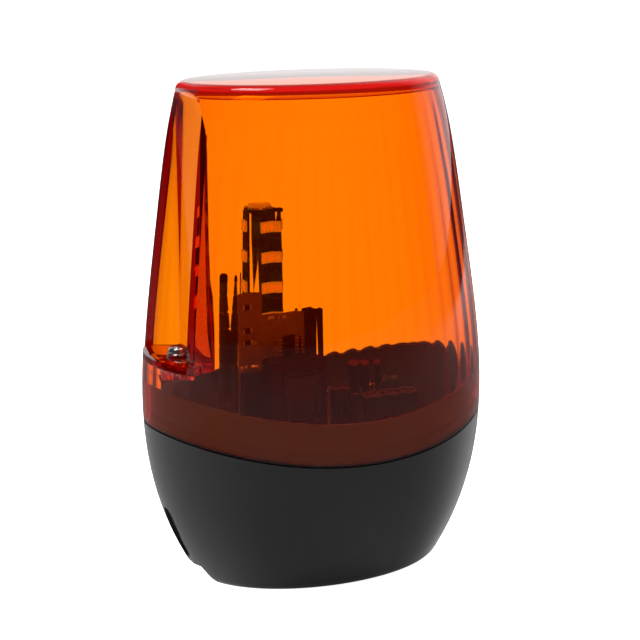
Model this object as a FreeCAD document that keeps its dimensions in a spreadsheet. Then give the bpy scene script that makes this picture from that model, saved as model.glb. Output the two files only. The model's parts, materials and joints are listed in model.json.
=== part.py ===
"""Amber warning light: oval dark base, screw-down transparent lens, LED tower and its boards.

Frame: millimetres, +Z up, origin on the surface under the middle of the oval. X runs along the oval's
long axis with the screw pocket and the cable entry at its -X end, and -Y is the front.
"""

import FreeCAD, Part
import os
import re

import Sketcher
from FreeCAD import Placement, Rotation, Vector

doc = FreeCAD.newDocument("warning_light")

# ---------------------------------------------------------------------------------------------
# Driving dimensions
# ---------------------------------------------------------------------------------------------

# The skin is an oval at each of these levels, with a smooth surface through them.
LEVELS = ["foot", "low_bowl", "high_bowl", "belly", "shoulder", "neck", "crown"]

SIZES = {
    # oval skin at its widest, half width along X and half depth along Y
    "half_width": 61.3, "half_depth": 47.2,
    # each level's height, and how far the skin is tucked in there at the ends and at the sides
    "foot_height": 0, "foot_end_tuck": 16.7, "foot_side_tuck": 15.5,
    "low_bowl_height": 20, "low_bowl_end_tuck": 6.8, "low_bowl_side_tuck": 6.3,
    "high_bowl_height": 40, "high_bowl_end_tuck": 1.6, "high_bowl_side_tuck": 1.5,
    "belly_height": 58, "belly_end_tuck": 0, "belly_side_tuck": 0,
    "shoulder_height": 100, "shoulder_end_tuck": 3.1, "shoulder_side_tuck": 2.9,
    "neck_height": 135, "neck_end_tuck": 8.1, "neck_side_tuck": 7.5,
    "crown_height": 170, "crown_end_tuck": 15.7, "crown_side_tuck": 14.4,
    "foot_bevel": 1.2, "crown_bevel": 2,
    # parting line between base and lens: a shallow saddle, lowest at the front and back
    "seam_height": 46.5, "saddle_radius": 200, "seam_gap": 0.5,
    # base
    "bowl_wall": 3, "floor_clear": 4, "floor_wall": 3, "shelf_height": 42,
    "collar_fit": 0.3, "collar_wall": 2.5, "collar_rise": 14,
    "mount_inset": 13.6, "mount_hole_radius": 2.5, "mount_pad_radius": 6,
    "board_post_radius": 3.4, "board_screw_clearance": 0.05,
    "pillar_radius": 4.2, "pillar_foot_height": 34, "pillar_web": 5, "pillar_web_drop": 3, "pillar_gap": 0.3,
    "pilot_run_out": 1,
    "notch_half_width": 12, "notch_top_half_width": 7, "notch_height": 6,
    "entry_half_width": 3.6, "entry_height": 19, "entry_middle_height": 17.2,
    # lens
    "skirt_wall": 2.4, "lens_wall": 3.2, "crown_wall": 2.8, "ledge_gap": 0.3,
    "pocket_length": 16.7, "pocket_half_width": 13.4, "pocket_splay": 29, "pocket_wall": 1.8,
    "pocket_floor_height": 79.5, "pocket_floor_wall": 3,
    "lens_boss_radius": 4.5, "lens_boss_length": 4.5,
    # seal, in a groove round the collar
    "seal_proud": 0.1, "seal_groove_depth": 1.2, "seal_low": 3, "seal_high": 5, "seal_fit": 0.02,
    # lens screw and its washer
    "lens_screw_inset": 10.8, "screw_head_radius": 3.3, "screw_head_height": 2.4,
    "screw_shank_radius": 1.95, "screw_shank_length": 22, "screw_slack": 0.05, "screw_passage": 0.35,
    "screw_recess_radius": 1.5, "screw_recess_slot": 0.5, "screw_recess_depth": 1.2,
    "washer_radius": 3.7, "washer_thickness": 0.8,
    # grommet in the cable entry
    "grommet_fit": 0.05, "grommet_recess": 1.2, "grommet_lip": 1.8, "grommet_lip_depth": 1.5,
    "cable_bore_radius": 2.5,
    # main board
    "board_height": 52, "board_thickness": 1.6, "board_side_gap": 14, "board_edge_gap": 2.8,
    "board_screw_end_gap": 20.1, "board_screw_side_gap": 25, "board_screw_head_radius": 2.6,
    "board_screw_head_height": 1.9, "board_screw_shank_radius": 1.3, "board_screw_length": 9,
    "board_hole_slack": 0.2, "access_hole_radius": 3.6,
    # LED tower
    "tower_from_pocket": 24.6, "tower_front_y": -6.5, "tower_side_x": 4.3,
    "strip_width": 8.2, "side_strip_width": 7.6, "strip_thickness": 1, "tower_height": 72.5,
    "tower_cap_size": 9.6, "tower_cap_thickness": 1.2,
    "led_width": 3.3, "led_height": 3.6, "led_depth": 1.4, "led_spacing": 3.6, "led_pitch": 10.35,
    "led_first_drop": 4.8, "led_rows": 4,
    # driver board, its header and its guide
    "driver_from_pocket": 10.5, "driver_y": -12.4, "driver_width": 24.9, "driver_height": 39,
    "driver_thickness": 1.6, "driver_ear_width": 8.4, "driver_ear_height": 8,
    "header_height": 2.6, "header_depth": 2.5, "header_length": 18, "header_pin": 0.64, "header_pins": 7,
    "guide_width": 6, "guide_depth": 4, "guide_height": 39.6, "guide_slot_depth": 1.6, "guide_fit": 0.1,
    # components on the main board
    "transformer_width": 19.6, "transformer_depth": 15, "transformer_height": 26,
    "transformer_from_pocket": 26, "transformer_y": -23.4,
    "terminal_x": 16, "terminal_y": -23.8, "terminal_pitch": 5, "terminal_depth": 8, "terminal_height": 10,
    "terminal_wall": 0.8, "chamber_height": 6.4, "chamber_lift": 1, "mouth_edge": 0.4, "mouth_height": 3.6,
    "cage_fit": 0.1, "cage_height": 4, "cage_wall": 0.8, "clamp_drop": 0.4, "clamp_head_radius": 1.7,
    "clamp_head_height": 1.6, "clamp_slot": 0.5, "clamp_shank_radius": 1.2, "clamp_shank_length": 4,
    "clamp_fit": 0.08, "clamp_head_fit": 0.1,
    "capacitor_x": 24, "capacitor_y": 9, "capacitor_radius": 5, "capacitor_height": 12.5,
    "rectifier_x": 6, "rectifier_y": 14, "rectifier_width": 8.4, "rectifier_depth": 6.4,
    "rectifier_height": 3.2,
    "fuse_x": 10, "fuse_y": -3, "fuse_radius": 4.2, "fuse_height": 7.6,
    "varistor_x": 26.5, "varistor_y": -6, "varistor_radius": 4.5, "varistor_thickness": 3.6,
    "varistor_lift": 1.5, "varistor_lead": 0.4,
    "aerial_from_pocket": 16, "aerial_y": 9.5, "aerial_radius": 2.3, "aerial_height": 47,
    "aerial_cap_radius": 2.5, "aerial_cap_height": 2.8,
    "wire_from_pocket": 20.9, "wire_y": 10.5, "wire_radius": 0.6, "wire_height": 49.8,
}

sheet = doc.addObject("Spreadsheet::Sheet", "Sizes")
for row, (alias, number) in enumerate(SIZES.items(), start=1):
    sheet.set(f"A{row}", alias)
    sheet.set(f"B{row}", str(number))
    sheet.setAlias(f"B{row}", alias)
doc.recompute()


# ---------------------------------------------------------------------------------------------
# Helpers: every size is an expression on the sheet
# ---------------------------------------------------------------------------------------------

def size(alias):
    """A sheet value as a number, for the few properties that take no expression."""
    return float(sheet.get(alias))


def expand(expression):
    """Write each alias of an expression as a cell of the sheet."""
    def cell(word):
        return f"Sizes.{word[0]}" if word[0] in SIZES else word[0]
    return re.sub("[a-z][a-z_]+", cell, expression)


def bind(item, sizes):
    """Tie properties of an object to expressions on the sheet."""
    for target, expression in sizes.items():
        item.setExpression(target, expand(expression))
    return item


def place(x="0", y="0", z="0"):
    """The three expressions that put an object somewhere."""
    return {"Placement.Base.x": x, "Placement.Base.y": y, "Placement.Base.z": z}


def box(name, length, width, height, x="0", y="0", z="0"):
    """A block centred on x and y, standing on z."""
    block = doc.addObject("Part::Box", name)
    corner = place(f"({x}) - ({length}) / 2", f"({y}) - ({width}) / 2", z)
    return bind(block, {"Length": length, "Width": width, "Height": height, **corner})


def cylinder(name, radius, height, x="0", y="0", z="0"):
    """An upright cylinder standing on z."""
    rod = doc.addObject("Part::Cylinder", name)
    return bind(rod, {"Radius": radius, "Height": height, **place(x, y, z)})


def cut(name, base, *tools):
    """The base less every tool."""
    result = doc.addObject("Part::Cut", name)
    result.Base = base
    result.Tool = tools[0] if len(tools) == 1 else fuse(name + "_tools", *tools)
    return result


def fuse(name, *shapes):
    """Everything joined."""
    result = doc.addObject("Part::MultiFuse", name)
    result.Shapes = list(shapes)
    return result


def common(name, base, *tools):
    """What the base shares with each tool in turn."""
    result = base
    for number, tool in enumerate(tools, start=1):
        both = doc.addObject("Part::Common", name if number == len(tools) else f"{name}_{number}")
        both.Base = result
        both.Tool = tool
        result = both
    return result


def group(name, pieces):
    """Identical pieces that stay separate solids under one name."""
    result = doc.addObject("Part::Compound", name)
    result.Links = list(pieces)
    return result


def origin_item(body, role):
    """One of a body's own origin planes or axes."""
    for item in body.Origin.OriginFeatures:
        if item.Role == role:
            return item
    raise ValueError(role)


# Sketches are drawn at this rough size, and their constraints then give the real one.
ROUGH = 10.0


def new_sketch(body, name, role):
    """A sketch flat on one of the body's own origin planes."""
    sketch = body.newObject("Sketcher::SketchObject", name)
    sketch.AttachmentSupport = (origin_item(body, role), [""])
    sketch.MapMode = "FlatFace"
    return sketch


def name_last(sketch, name, expression):
    """Name the constraint added last and tie it to the sheet."""
    sketch.renameConstraint(sketch.ConstraintCount - 1, name)
    sketch.setExpression(f"Constraints.{name}", expand(expression))


def turned(name, steps, x="0", y="0", z="0"):
    """A turned piece: steps are (radius, length) pairs from the bottom up, about the vertical axis."""
    body = doc.addObject("PartDesign::Body", name)
    sketch = new_sketch(body, name + "_profile", "XZ_Plane")
    corners = [Vector(0, 0, 0)]
    for step in range(len(steps)):
        corners.append(Vector((step + 1) * ROUGH, step * ROUGH, 0))
        corners.append(Vector((step + 1) * ROUGH, (step + 1) * ROUGH, 0))
    corners.append(Vector(0, len(steps) * ROUGH, 0))
    count = len(corners)
    for index in range(count):
        sketch.addGeometry(Part.LineSegment(corners[index], corners[(index + 1) % count]))
    for index in range(count):
        sketch.addConstraint(Sketcher.Constraint("Coincident", index, 2, (index + 1) % count, 1))
    sketch.addConstraint(Sketcher.Constraint("Coincident", 0, 1, -1, 1))
    for index in range(count - 1):
        sketch.addConstraint(Sketcher.Constraint("Vertical" if index % 2 else "Horizontal", index))
    sketch.addConstraint(Sketcher.Constraint("PointOnObject", count - 1, 1, -2))
    for step, (radius, length) in enumerate(steps):
        edge = 2 * step + 1
        sketch.addConstraint(Sketcher.Constraint("DistanceX", -1, 1, edge, 1, (step + 1) * ROUGH))
        name_last(sketch, f"radius_{step}", radius)
        sketch.addConstraint(Sketcher.Constraint("DistanceY", edge, 1, edge, 2, ROUGH))
        name_last(sketch, f"length_{step}", length)
    turn = body.newObject("PartDesign::Revolution", name + "_turn")
    turn.Profile = sketch
    turn.ReferenceAxis = (sketch, ["V_Axis"])
    turn.Angle = 360
    return bind(body, place(x, y, z))


def disc_sketch(body, name, radius, x="0", y="0"):
    """A circle on the body's ground plane."""
    sketch = new_sketch(body, name, "XY_Plane")
    sketch.addGeometry(Part.Circle(Vector(ROUGH, ROUGH, 0), Vector(0, 0, 1), ROUGH))
    sketch.addConstraint(Sketcher.Constraint("Radius", 0, ROUGH))
    name_last(sketch, "radius", radius)
    for axis, expression in (("DistanceX", x), ("DistanceY", y)):
        if expression == "0":
            line = -2 if axis == "DistanceX" else -1
            sketch.addConstraint(Sketcher.Constraint("PointOnObject", 0, 3, line))
        else:
            sketch.addConstraint(Sketcher.Constraint(axis, -1, 1, 0, 3, ROUGH))
            name_last(sketch, "across" if axis == "DistanceX" else "along", expression)
    return sketch


def plate(name, length, width, thickness, x="0", y="0", z="0"):
    """A flat rectangular plate as a padded sketch, centred on x and y."""
    body = doc.addObject("PartDesign::Body", name)
    sketch = new_sketch(body, name + "_outline", "XY_Plane")
    corners = []
    for across, along in ((-1, -1), (1, -1), (1, 1), (-1, 1)):
        corners.append(Vector(across * ROUGH, along * ROUGH, 0))
    for index in range(4):
        sketch.addGeometry(Part.LineSegment(corners[index], corners[(index + 1) % 4]))
    for index in range(4):
        sketch.addConstraint(Sketcher.Constraint("Coincident", index, 2, (index + 1) % 4, 1))
        sketch.addConstraint(Sketcher.Constraint("Vertical" if index % 2 else "Horizontal", index))
    sketch.addConstraint(Sketcher.Constraint("Symmetric", 0, 1, 1, 2, -1, 1))
    sketch.addConstraint(Sketcher.Constraint("DistanceX", 0, 1, 0, 2, 2 * ROUGH))
    name_last(sketch, "length", length)
    sketch.addConstraint(Sketcher.Constraint("DistanceY", 1, 1, 1, 2, 2 * ROUGH))
    name_last(sketch, "width", width)
    pad = body.newObject("PartDesign::Pad", name + "_pad")
    pad.Profile = sketch
    bind(pad, {"Length": thickness})
    return bind(body, place(x, y, z))


def drill(body, name, radius, x="0", y="0"):
    """A round hole right through a plate."""
    pocket = body.newObject("PartDesign::Pocket", name)
    pocket.Profile = disc_sketch(body, name + "_circle", radius, x, y)
    pocket.Type = 1
    pocket.Reversed = True
    return pocket


# ---------------------------------------------------------------------------------------------
# Oval skins and the saddle
# ---------------------------------------------------------------------------------------------

def half_width_at(level):
    """The skin's half width along X at one level."""
    return f"half_width - {level}_end_tuck"


def half_depth_at(level):
    """The skin's half depth along Y at one level."""
    return f"half_depth - {level}_side_tuck"


def stacked(name, rings):
    """Smooth solid through level ovals, each given as half width, half depth and height."""
    ovals = []
    for number, (half_width, half_depth, height) in enumerate(rings, start=1):
        ring = doc.addObject("Part::Ellipse", f"{name}_{number}")
        bind(ring, {"MajorRadius": half_width, "MinorRadius": half_depth, "Placement.Base.z": height})
        ovals.append(ring)
    loft = doc.addObject("Part::Loft", name)
    loft.Sections = ovals
    loft.Solid = True
    return loft


def oval(name, inset):
    """Solid inside the skin, drawn a given inset within it at every level."""
    return stacked(name, [
        (f"{half_width_at(level)} - ({inset})", f"{half_depth_at(level)} - ({inset})", f"{level}_height")
        for level in LEVELS
    ])


def saddle(name, rise):
    """Everything above the parting surface raised by rise: a cylinder lying along Y."""
    drum = doc.addObject("Part::Cylinder", name)
    drum.Placement = Placement(Vector(), Rotation(Vector(1, 0, 0), 90))
    return bind(drum, {
        "Radius": f"saddle_radius - ({rise})",
        "Height": "4 * half_depth",
        "Placement.Base.y": "2 * half_depth",
        "Placement.Base.z": "seam_height + saddle_radius",
    })


def slab(name, low, high):
    """Everything between two heights."""
    return box(name, "4 * half_width", "4 * half_depth", f"({high}) - ({low})", z=low)


COLLAR_OUTSIDE = "skirt_wall + collar_fit"
COLLAR_INSIDE = "skirt_wall + collar_fit + collar_wall"
FLOOR_TOP = "floor_clear + floor_wall"
WELL_OUTSIDE = "1.2 * half_width"
LEDGE_RISE = "collar_rise + ledge_gap"


def flare(name, level, far):
    """Oval funnel at 45 degrees that bevels the skin's edge at one level and opens towards another."""
    away = "-" if level == "crown" else "+"
    rings = []
    for out, height in (
        (f"-2 * {level}_bevel", f"{level}_height - ({away} {level}_bevel)"),
        (f"abs({far}_height - {level}_height) - {level}_bevel", f"{far}_height"),
    ):
        rings.append((f"{half_width_at(level)} + ({out})", f"{half_depth_at(level)} + ({out})", height))
    return stacked(name, rings)


bowl_inside = oval("bowl_inside", "bowl_wall")


# ---------------------------------------------------------------------------------------------
# Screw pocket in the lens
# ---------------------------------------------------------------------------------------------

POCKET_END = "(half_width - pocket_length)"
POCKET_RUN = f"({WELL_OUTSIDE} - {POCKET_END})"


def pocket_block(name, wall, floor):
    """Upright block with splayed sides that fills the screw pocket, grown by a wall."""
    block = doc.addObject("Part::Wedge", name)
    block.Placement = Placement(Vector(), Rotation(Vector(0, 0, 1), 90))
    start = f"pocket_half_width + ({wall}) / cos(pocket_splay * 1deg) - ({wall}) * tan(pocket_splay * 1deg)"
    spread = f"({POCKET_RUN} + ({wall})) * tan(pocket_splay * 1deg)"
    return bind(block, {
        "Xmin": f"-({start})", "Xmax": start,
        "X2min": f"-({start}) - {spread}", "X2max": f"{start} + {spread}",
        "Ymin": "0", "Ymax": f"{POCKET_RUN} + ({wall})",
        "Zmin": "0", "Zmax": "2 * crown_height", "Z2min": "0", "Z2max": "2 * crown_height",
        "Placement.Base.x": f"-{POCKET_END} + ({wall})",
        "Placement.Base.z": f"pocket_floor_height - ({floor})",
    })


SCREW_X = "-(half_width - lens_screw_inset)"
BOSS_BOTTOM = "pocket_floor_height - pocket_floor_wall - lens_boss_length"


# ---------------------------------------------------------------------------------------------
# Base housing
# ---------------------------------------------------------------------------------------------

def entry_bar(name, grow):
    """Upright oval bar through the -X end, along X."""
    radius = f"(entry_half_width + ({grow}))"
    straight = "(entry_height - 2 * entry_half_width)"
    middle = box(name + "_middle", WELL_OUTSIDE, f"2 * {radius}", straight,
                 x="-half_width", z=f"entry_middle_height - {straight} / 2")
    ends = []
    for end, side in (("bottom", "-"), ("top", "+")):
        rod = doc.addObject("Part::Cylinder", f"{name}_{end}")
        rod.Placement = Placement(Vector(), Rotation(Vector(0, 1, 0), 90))
        bind(rod, {
            "Radius": radius, "Height": WELL_OUTSIDE,
            "Placement.Base.x": f"-half_width - {WELL_OUTSIDE} / 2",
            "Placement.Base.z": f"entry_middle_height {side} {straight} / 2",
        })
        ends.append(rod)
    return fuse(name, middle, *ends)


def collar_ring(name, outside, inside, low, high):
    """Band between two insets and two rises above the parting surface."""
    ring = cut(name + "_ring", oval(name + "_outside", outside), oval(name + "_inside", inside))
    above = common(name + "_above", ring, saddle(name + "_low", low))
    return cut(name, above, saddle(name + "_high", high))


MOUNT_X = f"({half_width_at('foot')} - mount_inset)"
MOUNT_PLACES = (("left", f"-{MOUNT_X}"), ("right", MOUNT_X))
ROOM_HALF_WIDTH = f"(half_width - ({COLLAR_INSIDE}))"
ROOM_HALF_DEPTH = f"(half_depth - ({COLLAR_INSIDE}))"
BOARD_SCREW_X = f"({ROOM_HALF_WIDTH} - board_screw_end_gap)"
BOARD_SCREW_Y = f"({ROOM_HALF_DEPTH} - board_screw_side_gap)"
BOARD_POST_PLACES = [
    (f"{side_x}{BOARD_SCREW_X}", f"{side_y}{BOARD_SCREW_Y}") for side_x in ("-", "") for side_y in ("-", "")
]

base_skin = common("base_skin", oval("base_oval", "0"),
                   flare("foot_flare", "foot", "crown"))
bowl = cut("bowl", base_skin, saddle("seam_above_base", "-seam_gap"))
collar = cut("collar", oval("collar_outside", COLLAR_OUTSIDE), saddle("collar_top", "collar_rise"))
bowl_room = common("bowl_room", bowl_inside, slab("bowl_room_span", FLOOR_TOP, "shelf_height"))
collar_room = common("collar_room", oval("collar_inside", COLLAR_INSIDE),
                     slab("collar_room_span", FLOOR_TOP, "crown_height"))
foot_room = common("foot_room", bowl_inside, slab("foot_room_span", "-floor_clear", "floor_clear"))
base_shell = cut("base_shell", fuse("base_block", bowl, collar), bowl_room, collar_room, foot_room)

inner_details = []
for number, (x, y) in enumerate(BOARD_POST_PLACES, start=1):
    inner_details.append(cylinder(f"board_post_{number}", "board_post_radius",
                                  f"board_height - ({FLOOR_TOP}) + floor_wall / 2",
                                  x, y, f"{FLOOR_TOP} - floor_wall / 2"))
PILLAR_TOP = f"{BOSS_BOTTOM} - pillar_gap"
inner_details.append(cylinder("lens_pillar", "pillar_radius", f"{PILLAR_TOP} - pillar_foot_height",
                              SCREW_X, "0", "pillar_foot_height"))
inner_details.append(box("pillar_web_block", "lens_screw_inset", "pillar_web",
                         f"{PILLAR_TOP} - pillar_foot_height - pillar_web_drop",
                         x="-half_width + lens_screw_inset / 2", z="pillar_foot_height"))
details = common("base_details", fuse("base_detail_blocks", *inner_details),
                 oval("detail_limit", "lens_wall + ledge_gap"))

pads = []
for name, x in MOUNT_PLACES:
    pads.append(cylinder(f"mount_pad_{name}", "mount_pad_radius", FLOOR_TOP, x))
base_solid = fuse("base_solid", base_shell, details, *pads)

base_holes = []
for name, x in MOUNT_PLACES:
    base_holes.append(cylinder(f"mount_hole_{name}", "mount_hole_radius", f"3 * ({FLOOR_TOP})",
                               x, z="-floor_wall"))
for number, (x, y) in enumerate(BOARD_POST_PLACES, start=1):
    base_holes.append(cylinder(f"board_pilot_{number}", "board_screw_shank_radius + board_screw_clearance",
                               "2 * board_screw_length", x, y,
                               "board_height + board_thickness - board_screw_length - pilot_run_out"))
base_holes.append(cylinder("lens_pilot", "screw_shank_radius + screw_slack", "screw_shank_length",
                           SCREW_X, "0", "pocket_floor_height - screw_shank_length - pilot_run_out"))
base_holes.append(entry_bar("entry_hole", "0"))
notch = doc.addObject("Part::Wedge", "rim_notch")
notch.Placement = Placement(Vector(), Rotation(Vector(1, 1, 1), 120))
bind(notch, {
    "Xmin": "-notch_half_width", "Xmax": "notch_half_width",
    "X2min": "-notch_top_half_width", "X2max": "notch_top_half_width",
    "Ymin": "0", "Ymax": "notch_height",
    "Zmin": f"-{WELL_OUTSIDE}", "Zmax": f"-{MOUNT_X} - mount_pad_radius",
    "Z2min": f"-{WELL_OUTSIDE}", "Z2max": f"-{MOUNT_X} - mount_pad_radius",
})
base_holes.append(notch)
SEAL_BACK = f"{COLLAR_OUTSIDE} + seal_groove_depth"
base_holes.append(collar_ring("seal_groove", "0", SEAL_BACK, "seal_low", "seal_high"))
base_housing = cut("base_housing", base_solid, *base_holes)

# ---------------------------------------------------------------------------------------------
# Lens, seal, screw and washer, grommet
# ---------------------------------------------------------------------------------------------

lens_block = common("lens_block", oval("lens_oval", "0"), saddle("seam", "0"),
                    flare("crown_flare", "crown", "foot"))
skirt_room = cut("skirt_room", oval("skirt_inside", "skirt_wall"), saddle("ledge", LEDGE_RISE))
upper_room = common("upper_room", oval("lens_inside", "lens_wall"),
                    slab("upper_room_span", "0", "crown_height - crown_wall"))
lens_boss = cylinder("lens_boss", "lens_boss_radius", "lens_boss_length + pocket_floor_wall",
                     SCREW_X, "0", BOSS_BOTTOM)
lens_room = fuse("lens_room", skirt_room,
                 cut("lit_room", upper_room, pocket_block("pocket_walls", "pocket_wall", "pocket_floor_wall"),
                     lens_boss))
screw_way = cylinder("screw_way", "screw_shank_radius + screw_passage",
                     "2 * (lens_boss_length + pocket_floor_wall)", SCREW_X, "0",
                     f"{BOSS_BOTTOM} - lens_boss_length / 2")
lens = cut("lens", lens_block, lens_room, pocket_block("screw_pocket", "0", "0"), screw_way)

lens_seal = collar_ring("lens_seal", f"{COLLAR_OUTSIDE} - seal_proud", SEAL_BACK,
                        "seal_low + seal_fit", "seal_high - seal_fit")

washer_blank = cylinder("washer_blank", "washer_radius", "washer_thickness",
                        SCREW_X, "0", "pocket_floor_height")
washer_bore = cylinder("washer_bore", "screw_shank_radius + screw_slack", "3 * washer_thickness",
                       SCREW_X, "0", "pocket_floor_height - washer_thickness")
screw_washer = cut("screw_washer", washer_blank, washer_bore)

screw_blank = turned("screw_blank", [
    ("screw_shank_radius", "screw_shank_length"),
    ("screw_head_radius", "screw_head_height"),
], SCREW_X, "0", "pocket_floor_height + washer_thickness - screw_shank_length")
SCREW_TOP = "pocket_floor_height + washer_thickness + screw_head_height"
screw_recess = []
for name, length, width in (("along", "2 * screw_recess_radius", "screw_recess_slot"),
                            ("across", "screw_recess_slot", "2 * screw_recess_radius")):
    screw_recess.append(box(f"screw_recess_{name}", length, width, "2 * screw_recess_depth",
                            SCREW_X, "0", f"{SCREW_TOP} - screw_recess_depth"))
lens_screw = cut("lens_screw", screw_blank, *screw_recess)

plug = cut("grommet_plug",
           common("grommet_plug_front", entry_bar("plug_bar", "-grommet_fit"),
                  oval("plug_face", "grommet_recess")),
           oval("plug_back", "bowl_wall + grommet_fit"))
lip = cut("grommet_lip_ring",
          common("grommet_lip_front", entry_bar("lip_bar", "grommet_lip"),
                 oval("lip_face", "bowl_wall + grommet_fit"),
                 slab("lip_span", f"{FLOOR_TOP} + grommet_fit", "shelf_height")),
          oval("lip_back", "bowl_wall + grommet_fit + grommet_lip_depth"))
cable_bore = doc.addObject("Part::Cylinder", "cable_bore")
cable_bore.Placement = Placement(Vector(), Rotation(Vector(0, 1, 0), 90))
bind(cable_bore, {
    "Radius": "cable_bore_radius", "Height": WELL_OUTSIDE,
    "Placement.Base.x": f"-half_width - {WELL_OUTSIDE} / 2", "Placement.Base.z": "entry_middle_height",
})
cable_grommet = cut("cable_grommet", fuse("grommet_blank", plug, lip), cable_bore)

# ---------------------------------------------------------------------------------------------
# Main board and its screws
# ---------------------------------------------------------------------------------------------

BOARD_TOP = "board_height + board_thickness"
BOARD_HALF_DEPTH = f"({ROOM_HALF_DEPTH} - board_side_gap)"
# The board's corners stay an edge gap inside the collar's oval.
BOARD_HALF_LENGTH = (
    f"({ROOM_HALF_WIDTH} * sqrt(1 - ({BOARD_HALF_DEPTH} / {ROOM_HALF_DEPTH}) ^ 2) - board_edge_gap)"
)
main_board = plate("main_board", f"2 * {BOARD_HALF_LENGTH}", f"2 * {BOARD_HALF_DEPTH}", "board_thickness",
                   z="board_height")
for number, (x, y) in enumerate(BOARD_POST_PLACES, start=1):
    drill(main_board, f"board_hole_{number}", "board_screw_shank_radius + board_hole_slack", x, y)
for name, x in MOUNT_PLACES:
    drill(main_board, f"access_hole_{name}", "access_hole_radius", x)

board_screws = group("board_screws", [
    turned(f"board_screw_{number}", [
        ("board_screw_shank_radius", "board_screw_length"),
        ("board_screw_head_radius", "board_screw_head_height"),
    ], x, y, f"{BOARD_TOP} - board_screw_length")
    for number, (x, y) in enumerate(BOARD_POST_PLACES, start=1)
])

# ---------------------------------------------------------------------------------------------
# LED tower: three narrow boards and the small board that ties them at the top
# ---------------------------------------------------------------------------------------------

TOWER_TOP = f"{BOARD_TOP} + tower_height"
TOWER_X = f"(tower_from_pocket - {POCKET_END})"
STRIP_HALF = "strip_thickness / 2"
FACES = {
    # name: centre x, centre y, along X or Y, outward side of the LEDs
    "front": (TOWER_X, "tower_front_y", "x", "-"),
    "left": (f"{TOWER_X} - tower_side_x", "0", "y", "-"),
    "right": (f"{TOWER_X} + tower_side_x", "0", "y", "+"),
}


def tower_board(name):
    """One upright strip, standing on the main board."""
    x, y, along, _ = FACES[name]
    if along == "x":
        return box(f"led_board_{name}", "strip_width", "strip_thickness", "tower_height", x, y, BOARD_TOP)
    return box(f"led_board_{name}", "strip_thickness", "side_strip_width", "tower_height", x, y, BOARD_TOP)


def led_row_height(row):
    """Height of a row's lower edge, counted down from the top."""
    return f"{TOWER_TOP} - led_first_drop - {row} * led_pitch - led_height / 2"


def tower_leds(name):
    """Rows of two LEDs on the outer face of one strip."""
    x, y, along, side = FACES[name]
    leds = []
    for row in range(int(size("led_rows"))):
        for half, shift in (("a", "-"), ("b", "+")):
            step = f"{shift} led_spacing / 2"
            out = f"{side} ({STRIP_HALF} + led_depth / 2)"
            if along == "x":
                led = box(f"led_{name}_{row}{half}", "led_width", "led_depth", "led_height",
                          f"{x} {step}", f"{y} {out}", led_row_height(row))
            else:
                led = box(f"led_{name}_{row}{half}", "led_depth", "led_width", "led_height",
                          f"{x} {out}", f"{y} {step}", led_row_height(row))
            leds.append(led)
    return group(f"leds_{name}", leds)


tower_nodes = []
for name in FACES:
    tower_nodes.append(tower_board(name))
    tower_nodes.append(tower_leds(name))
led_board_top = plate("led_board_top", "tower_cap_size", "tower_cap_size", "tower_cap_thickness",
                      TOWER_X, "tower_front_y + tower_cap_size / 2 - strip_thickness", TOWER_TOP)
leds_top = group("leds_top", [
    box(f"led_top_{number}", "led_width", "led_height", "led_depth",
        f"{TOWER_X} {side} led_spacing / 2", "tower_front_y + tower_cap_size / 2 - strip_thickness",
        f"{TOWER_TOP} + tower_cap_thickness")
    for number, side in enumerate(("-", "+"), start=1)
])

# ---------------------------------------------------------------------------------------------
# Driver board with its ear, pin header and guide
# ---------------------------------------------------------------------------------------------

DRIVER_LEFT = f"(driver_from_pocket - {POCKET_END})"
DRIVER_RIGHT = f"{DRIVER_LEFT} + driver_width"
driver_main = box("driver_main", "driver_width", "driver_thickness", "driver_height",
                  f"{DRIVER_LEFT} + driver_width / 2", "driver_y", BOARD_TOP)
driver_ear = box("driver_ear", "driver_ear_width", "driver_thickness", "driver_ear_height",
                 f"{DRIVER_LEFT} + driver_ear_width / 2", "driver_y", f"{BOARD_TOP} + driver_height")
driver_board = fuse("driver_board", driver_main, driver_ear)

HEADER_Y = "driver_y + driver_thickness / 2 + header_depth / 2"
header_bar = box("header_bar", "header_length", "header_depth", "header_height",
                 f"{DRIVER_LEFT} + driver_width / 2", HEADER_Y, BOARD_TOP)
header_pins = []
for number in range(int(size("header_pins"))):
    step = f"({number} - (header_pins - 1) / 2) * header_length / header_pins"
    header_pins.append(box(f"header_pin_{number + 1}", "header_pin", "header_pin", "2 * header_height",
                           f"{DRIVER_LEFT} + driver_width / 2 + {step}", HEADER_Y,
                           f"{BOARD_TOP} + header_height / 2"))
driver_header = fuse("driver_header", header_bar, *header_pins)

guide_bar = box("guide_bar", "guide_width", "guide_depth", "guide_height",
                f"{DRIVER_RIGHT} + guide_width / 2 - guide_slot_depth", "driver_y", BOARD_TOP)
guide_slot = box("guide_slot", "2 * (guide_slot_depth + guide_fit)", "driver_thickness + 2 * guide_fit",
                 "2 * guide_height", f"{DRIVER_RIGHT} - guide_slot_depth", "driver_y", BOARD_TOP)
board_guide = cut("board_guide", guide_bar, guide_slot)

# ---------------------------------------------------------------------------------------------
# Terminal block: clamp screws turn in the housing and lift the cages
# ---------------------------------------------------------------------------------------------

WAYS = 4
CHAMBER_LOW = f"{BOARD_TOP} + chamber_lift"
CHAMBER_WIDTH = "(terminal_pitch - terminal_wall)"
CHAMBER_DEPTH = "(terminal_depth - 2 * terminal_wall)"
CLAMP_TOP = f"{BOARD_TOP} + terminal_height - clamp_drop"
CAGE_LOW = f"{CHAMBER_LOW} + cage_fit"
CAGE_WIDTH = f"{CHAMBER_WIDTH} - 2 * cage_fit"


def way_x(way):
    """Centre of one way of the terminal block."""
    return f"terminal_x + ({way} - {(WAYS - 1) / 2}) * terminal_pitch"


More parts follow.
